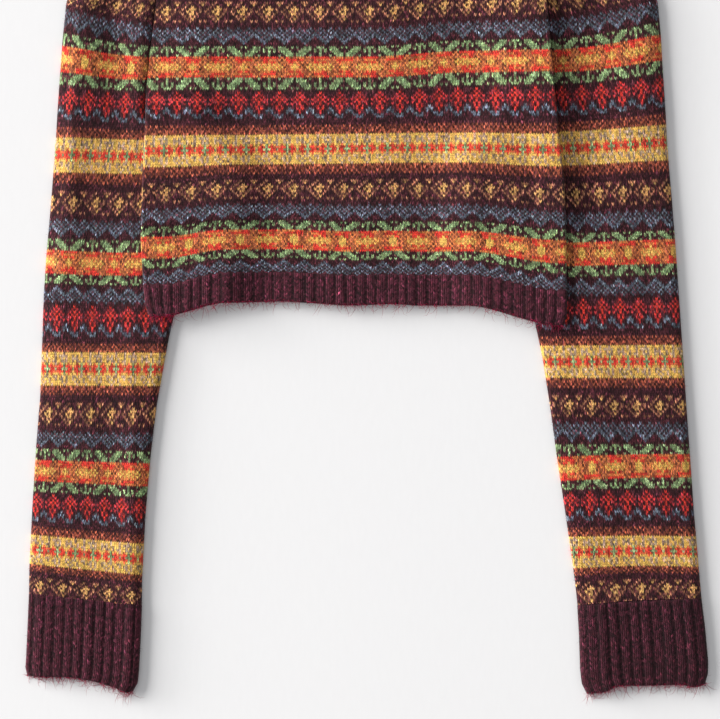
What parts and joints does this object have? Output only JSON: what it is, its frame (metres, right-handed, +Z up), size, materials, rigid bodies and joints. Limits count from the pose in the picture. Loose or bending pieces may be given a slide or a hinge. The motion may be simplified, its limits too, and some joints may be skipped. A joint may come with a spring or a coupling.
{
  "type": "fair isle cardigan",
  "caption": "Cropped long-sleeved knitted cardigan with traditional stranded bands and ribbed edges, laid flat with its back up and its sleeves drawn in under its sides.",
  "frame": {"origin": "middle of the plan outline, on the surface that the garment lies on", "axes": "+Z up from the surface through the cloth, +Y from the cuffs and hem towards the neck, +X towards the wearer's right, because the back is up"},
  "size_m": [0.5812, 0.7152, 0.0107],
  "materials": {
    "fair_isle_knit": "fuzzy wool knit, bands in wine, blue-grey, green, orange, red and yellow",
    "wine_rib": "fuzzy wool rib",
    "dark_horn": "satin horn"
  },
  "bodies": {
    "root": {"back": "fair_isle_knit", "front_left": "fair_isle_knit", "front_right": "fair_isle_knit", "sleeve_left": "fair_isle_knit", "sleeve_right": "fair_isle_knit", "hem_back": "wine_rib", "hem_front_left": "wine_rib", "hem_front_right": "wine_rib", "cuff_left": "wine_rib", "cuff_right": "wine_rib", "neckband_back": "wine_rib", "neckband_front_left": "wine_rib", "neckband_front_right": "wine_rib", "button_band": "wine_rib", "buttonhole_band": "wine_rib", "button_1": "dark_horn", "button_2": "dark_horn", "button_3": "dark_horn", "button_4": "dark_horn", "button_5": "dark_horn", "button_6": "dark_horn"}
  },
  "joints": []
}
